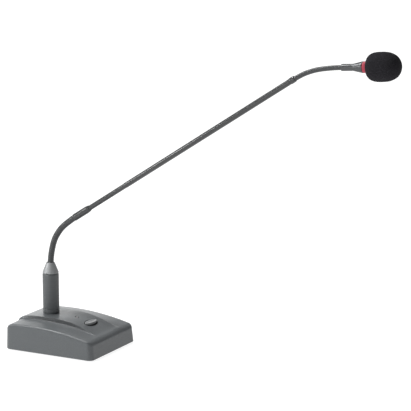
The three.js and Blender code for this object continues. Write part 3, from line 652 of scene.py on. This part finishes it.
class Line:
    """A centre line that gives a point and a direction at any length along it."""

    def __init__(self, points):
        self.points = points
        self.at = [0.0]
        for a, b in zip(points, points[1:]):
            self.at.append(self.at[-1] + (b - a).length)
        self.length = self.at[-1]

    def point(self, s):
        if s <= 0:
            return self.points[0] + self.direction(0) * s
        if s >= self.length:
            return self.points[-1] + self.direction(self.length) * (s - self.length)
        k = next(i for i in range(len(self.at) - 1) if self.at[i + 1] >= s)
        t = (s - self.at[k]) / (self.at[k + 1] - self.at[k])
        return self.points[k].lerp(self.points[k + 1], t)

    def direction(self, s):
        s = min(max(s, 0.6), self.length - 0.6)
        return (self.point(s + 0.5) - self.point(s - 0.5)).normalized()

    def nearest(self, place):
        best = min(range(len(self.points)), key=lambda i: (self.points[i] - place).length)
        return self.at[best]


def wire_crest(phase):
    """Height of the wound wire across one pitch: a round back between sharp grooves."""
    across = abs((phase % 1.0) * 2 - 1)
    return math.sqrt(max(1 - across ** 2.2, 0))


def wound_skin(name, line, start, end, radius_at, pitch, depth, sides):
    steps = max(int((end - start) / pitch * 9), 4)
    side = Vector((1, 0, 0))
    rings = []
    for k in range(steps + 1):
        s = start + (end - start) * k / steps
        middle, along = line.point(s), line.direction(s)
        up = side.cross(along)
        ring = []
        for i in range(sides):
            angle = 2 * math.pi * i / sides
            r = radius_at(s) - depth * (1 - wire_crest(s / pitch - i / sides))
            ring.append(middle + (side * math.cos(angle) + up * math.sin(angle)) * r)
        rings.append(ring)
    verts, faces = stitched(rings)
    return piece(name, verts, faces, "wound_neck", 60)


def build_flex(prefix, points, radius_at, pitch, depth, sides, ends):
    """One skin per hinge, each from the middle of one link to the middle of the next."""
    line = Line(spline(points))
    hinges = [j for name, j in joints.items() if name.startswith(prefix + "_")]
    places = [line.nearest(Vector(j["pos_m"]) / MM) for j in hinges]
    hinges = [j for _, j in sorted(zip(places, hinges), key=lambda pair: pair[0])]
    places = sorted(places)
    middles = [(a + b) / 2 for a, b in zip(places, places[1:])]
    cuts = [ends[0]] + middles + [line.length + ends[1]]
    spare = [f"{prefix}_flex_root", f"{prefix}_flex_tip"]
    for k, (hinge, place) in enumerate(zip(hinges, places)):
        skin = wound_skin(f"{prefix}_winding_{k + 1}", line, cuts[k], cuts[k + 1], radius_at, pitch,
                          depth, sides)
        centre, along = line.point(place), line.direction(place)
        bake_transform(skin)
        stands_for = [f"{prefix}_flex_link_{k + 1}"] if k < len(hinges) - 1 else []
        if k == 0:
            stands_for.append(spare[0])
        if k == len(hinges) - 1:
            stands_for.append(spare[1])
        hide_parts(*stands_for)


def lower_flex_radius(s):
    return LOWER_FLEX_RADIUS - SWAGE_DEPTH * smooth((s - SWAGE_START) / SWAGE_RUN)


def upper_flex_radius(s):
    return UPPER_FLEX_RADIUS


def build_tube():
    along = (TUBE_END - TUBE_START).normalized()
    length = (TUBE_END - TUBE_START).length
    sleeve = turned("neck_sleeve", [
        (3.8, -22.8), (4.35, -22.8), (4.55, -22.4), (4.55, -2.5), (4.5, -0.5), (4.3, 1.2), (3.8, 3.6),
        (3.55, 3.6), (3.55, 1.2), (3.8, 0.6)], "neck_tube", TUBE_START, along, soften=0.6)
    rod = turned("neck_tube", [
        (2.5, 0.3), (3.25, 0.3), (3.25, 66), (3.5, 66.5), (3.5, length - 5.3), (3.1, length - 5.3),
        (3.1, length - 0.3), (2.5, length - 0.3)], "neck_tube", TUBE_START, along, soften=0.2)
    collar = turned("neck_collar", [
        (3.4, length - 5), (3.75, length - 5), (3.95, length - 4.6), (3.95, length - 0.5),
        (3.7, length + 2), (3.4, length + 2)], "neck_tube", TUBE_START, along, soften=0.2)
    for part, node in ((sleeve, "lower_sleeve"), (rod, "rigid_tube"), (collar, "upper_collar")):
        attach(part, "arm")
        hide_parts(node)


def build_plug():
    seat, top, radius = 40.8, 93.2, 10.5
    inside, sleeve = 8.2, 9.4
    bottom = 26.5
    barrel = turned("barrel", [
        (inside, bottom), (sleeve, bottom), (sleeve, seat), (radius - 0.25, seat), (radius, seat + 0.25),
        (radius, seat + 5.2), (radius - 0.3, seat + 5.4), (radius - 0.3, seat + 6.0), (radius, seat + 6.2),
        (radius, top - 1.4), (radius - 0.5, top - 1.0), (radius - 0.5, top), (inside, top)], "barrel_metal",
        (0, NECK_Y, 0), segments=96, soften=0.1)
    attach(barrel, "plug")
    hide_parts("plug_barrel")
    foot, tip, bore = 93.5, 107.0, 4.75
    cone = turned("barrel_taper", [
        (bore, foot - 5.2), (inside - 0.3, foot - 5.2), (inside - 0.3, foot), (radius - 0.1, foot),
        (radius, foot + 0.7), (5.5, tip - 0.4), (5.1, tip), (bore, tip)], "cone_metal", (0, NECK_Y, 0),
        segments=96, soften=0.3)
    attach(cone, "plug")
    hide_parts("barrel_cone")


# ---------- head ----------
HEAD_ALONG = Vector((0, -math.cos(HEAD_RISE), math.sin(HEAD_RISE)))


def foam_radius(t, start):
    middle = start + FOAM_MIDDLE
    neck_side = t < middle
    reach = FOAM_NECK_REACH if neck_side else FOAM_LENGTH - FOAM_MIDDLE
    power = FOAM_NECK_POWER if neck_side else FOAM_TIP_POWER
    return FOAM_RADIUS * max(1 - (abs(t - middle) / reach) ** power, 0) ** (1 / power)


def build_windscreen(start):
    """Open-cell foam: an egg-shaped form with a bore, whose skin is broken into small pores."""
    bore, bore_end = HEAD_RADIUS + 0.3, start + 31.3
    steps = 130
    outline = []
    for i in range(steps + 1):
        t = start + FOAM_LENGTH * (1 - math.cos(math.pi * i / steps)) / 2
        outline.append((foam_radius(t, start) if i < steps else 0.0, t))
    profile = [(0, bore_end), (bore, bore_end), (bore, start + 0.5), (bore + 0.5, start)] + outline
    foam = turned("windscreen", profile, "windscreen_foam", HEAD_START, HEAD_ALONG, segments=200, soften=0)
    for vertex in foam.data.vertices:
        place = vertex.co / MM - HEAD_START
        t = place.dot(HEAD_ALONG)
        outward = place - HEAD_ALONG * t
        if outward.length < bore + 0.8 and t < bore_end + 1:
            continue
        pore = sum(noise.noise(place * fineness) * depth for fineness, depth in FOAM_PORES)
        if outward.length > 1:
            vertex.co += outward.normalized() * (pore - FOAM_PORE_SINK) * MM
    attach(foam, "windscreen")
    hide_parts("foam_windscreen")


def build_head():
    r, ring = HEAD_RADIUS, RING_START
    ferrule = turned("head_taper", [
        (3.3, -2.6), (4.15, -2.6), (4.15, 11.5), (r, ring - 1.7), (r, ring - 0.3), (r - 1.3, ring - 0.3),
        (r - 1.3, ring - 2.5), (2, ring - 4.5), (2, 0.6), (3.3, 0.6)], "capsule_metal", HEAD_START,
        HEAD_ALONG, soften=0.25)
    lens = turned("ring_lens", [
        (r - 1.4, ring), (r, ring), (r, ring + RING_LENGTH), (r - 1.4, ring + RING_LENGTH)], "red_lens",
        HEAD_START, HEAD_ALONG, soften=0.25)
    for part, node in ((ferrule, "head_ferrule"), (lens, "light_ring")):
        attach(part, "head")
        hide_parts(node)
    build_windscreen(ring + RING_LENGTH + 0.6)


# ---------- the rest of the CAD nodes, and the studio ----------
def dress_nodes():
    slots = {s["node"]: s["material_slot"] for s in frame["record"]["subparts"]}
    for name, obj in nodes.items():
        finish = finishes[slots[name]]
        if obj.data.materials:
            obj.material_slots[0].material = finish
        else:
            obj.data.materials.append(finish)


def area_light(name, place, aim, size, power, size_y=None):
    data = bpy.data.lights.new(name, "AREA")
    data.shape = "RECTANGLE"
    data.size = size
    data.size_y = size_y or size
    data.energy = power
    light = bpy.data.objects.new(name, data)
    light.location = place
    light.rotation_euler = (Vector(place) - Vector(aim)).to_track_quat("Z", "Y").to_euler()
    scene.collection.objects.link(light)


def sun_light(towards, strength, spread_degrees):
    data = bpy.data.lights.new("key", "SUN")
    data.energy = strength
    data.angle = math.radians(spread_degrees)
    light = bpy.data.objects.new("key", data)
    light.rotation_euler = Vector(towards).to_track_quat("Z", "Y").to_euler()
    scene.collection.objects.link(light)


def build_studio():
    scene.view_settings.view_transform = "Standard"
    world = bpy.data.worlds.new("studio")
    scene.world = world
    world.use_nodes = True
    world.node_tree.nodes["Background"].inputs["Color"].default_value = (1, 1, 1, 1)
    world.node_tree.nodes["Background"].inputs["Strength"].default_value = 0.15
    floor = Finish("floor_finish", Emission_Color=(1, 1, 1, 1), Emission_Strength=0.86)
    floor.colour(floor.noise(2, 2), (0.26, 0.26, 0.26), (0.28, 0.28, 0.28))
    floor.rough(floor.noise(4, 2), 0.85, 0.95)
    mesh = bpy.data.meshes.new("floor")
    half = 30.0
    corners = [(-half, -half, 0), (half, -half, 0), (half, half, 0), (-half, half, 0)]
    mesh.from_pydata(corners, [], [(0, 1, 2, 3)])
    ground = bpy.data.objects.new("floor", mesh)
    ground.data.materials.append(floor.material)
    scene.collection.objects.link(ground)
    sun_light((0.35, 0.25, 0.90), 1.6, 30)
    area_light("fill", (-2.1, 0.1, 0.75), (0, -0.1, 0.15), 1.2, 11)
    area_light("streak", (-1.25, 1.57, 0.91), (0, -0.1, 0.25), 0.5, 16)
    area_light("edge", (-0.35, 0.90, 1.85), (0, 0, 0), 0.35, 26)
    area_light("back", (5.3, 2.76, 1.25), (0, 0, 0), 6.0, 62, 1.8)


finishes = build_materials()
build_camera()
dress_nodes()
build_shell()
build_button()
build_led()
build_spring()
build_plug()
build_flex("lower", LOWER_FLEX, lower_flex_radius, 1.3, 0.22, 44, (2.0, -0.5))
build_tube()
build_flex("upper", UPPER_FLEX, upper_flex_radius, 1.1, 0.18, 36, (0.3, 0.0))
build_head()
build_studio()
